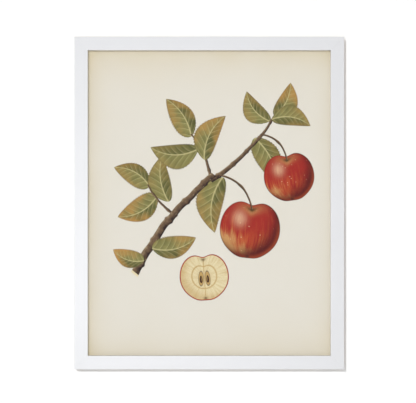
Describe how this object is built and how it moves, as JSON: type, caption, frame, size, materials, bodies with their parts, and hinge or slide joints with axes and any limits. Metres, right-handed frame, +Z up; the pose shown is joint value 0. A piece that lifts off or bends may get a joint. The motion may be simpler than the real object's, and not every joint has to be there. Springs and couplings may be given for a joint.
{
  "type": "framed print",
  "caption": "Upright rectangular picture frame with mitred flat rails, glass, a paper print, a backing board and a back panel under turn buttons, hung on a wall by a sawtooth hanger.",
  "frame": {"origin": "on the wall plane, at the middle of the rear face of the hanger's raised bridge", "axes": "+Z up, +Y into the wall, so the picture faces -Y, and +X to the viewer's right"},
  "size_m": [0.4376, 0.0216, 0.5392],
  "materials": {
    "rail": "satin",
    "glazing": "gloss",
    "print": "matte",
    "backing_board": "matte",
    "back_panel": "matte",
    "zinc": "satin",
    "steel": "satin",
    "bumper": "matte"
  },
  "bodies": {
    "frame": {"rail_top": "rail", "rail_right": "rail", "rail_bottom": "rail", "rail_left": "rail", "glazing": "glazing", "print_sheet": "print", "backing_board": "backing_board", "back_panel": "back_panel", "hanger": "zinc", "hanger_nail_left": "steel", "hanger_nail_right": "steel", "bumper_left": "bumper", "bumper_right": "bumper", "corner_nail_top_left": "steel", "corner_nail_top_right": "steel", "corner_nail_bottom_left": "steel", "corner_nail_bottom_right": "steel", "button_screw_top_left": "steel", "button_screw_top_right": "steel", "button_screw_left": "steel", "button_screw_right": "steel", "button_screw_bottom_left": "steel", "button_screw_bottom_right": "steel"},
    "button_top_left": {"turn_button_top_left": "zinc"},
    "button_top_right": {"turn_button_top_right": "zinc"},
    "button_left": {"turn_button_left": "zinc"},
    "button_right": {"turn_button_right": "zinc"},
    "button_bottom_left": {"turn_button_bottom_left": "zinc"},
    "button_bottom_right": {"turn_button_bottom_right": "zinc"}
  },
  "joints": [
    {"name": "turn_top_left", "type": "hinge", "parent": "frame", "child": "button_top_left", "pos_m": [-0.11, -0.00295, 0], "axis": [0, 1, 0], "range_deg": [-90, 90]},
    {"name": "turn_top_right", "type": "hinge", "parent": "frame", "child": "button_top_right", "pos_m": [0.11, -0.00295, 0], "axis": [0, 1, 0], "range_deg": [-90, 90]},
    {"name": "turn_left", "type": "hinge", "parent": "frame", "child": "button_left", "pos_m": [-0.2118, -0.00295, -0.2626], "axis": [0, 1, 0], "range_deg": [-90, 90]},
    {"name": "turn_right", "type": "hinge", "parent": "frame", "child": "button_right", "pos_m": [0.2118, -0.00295, -0.2626], "axis": [0, 1, 0], "range_deg": [-90, 90]},
    {"name": "turn_bottom_left", "type": "hinge", "parent": "frame", "child": "button_bottom_left", "pos_m": [-0.11, -0.00295, -0.5252], "axis": [0, 1, 0], "range_deg": [-90, 90]},
    {"name": "turn_bottom_right", "type": "hinge", "parent": "frame", "child": "button_bottom_right", "pos_m": [0.11, -0.00295, -0.5252], "axis": [0, 1, 0], "range_deg": [-90, 90]}
  ]
}
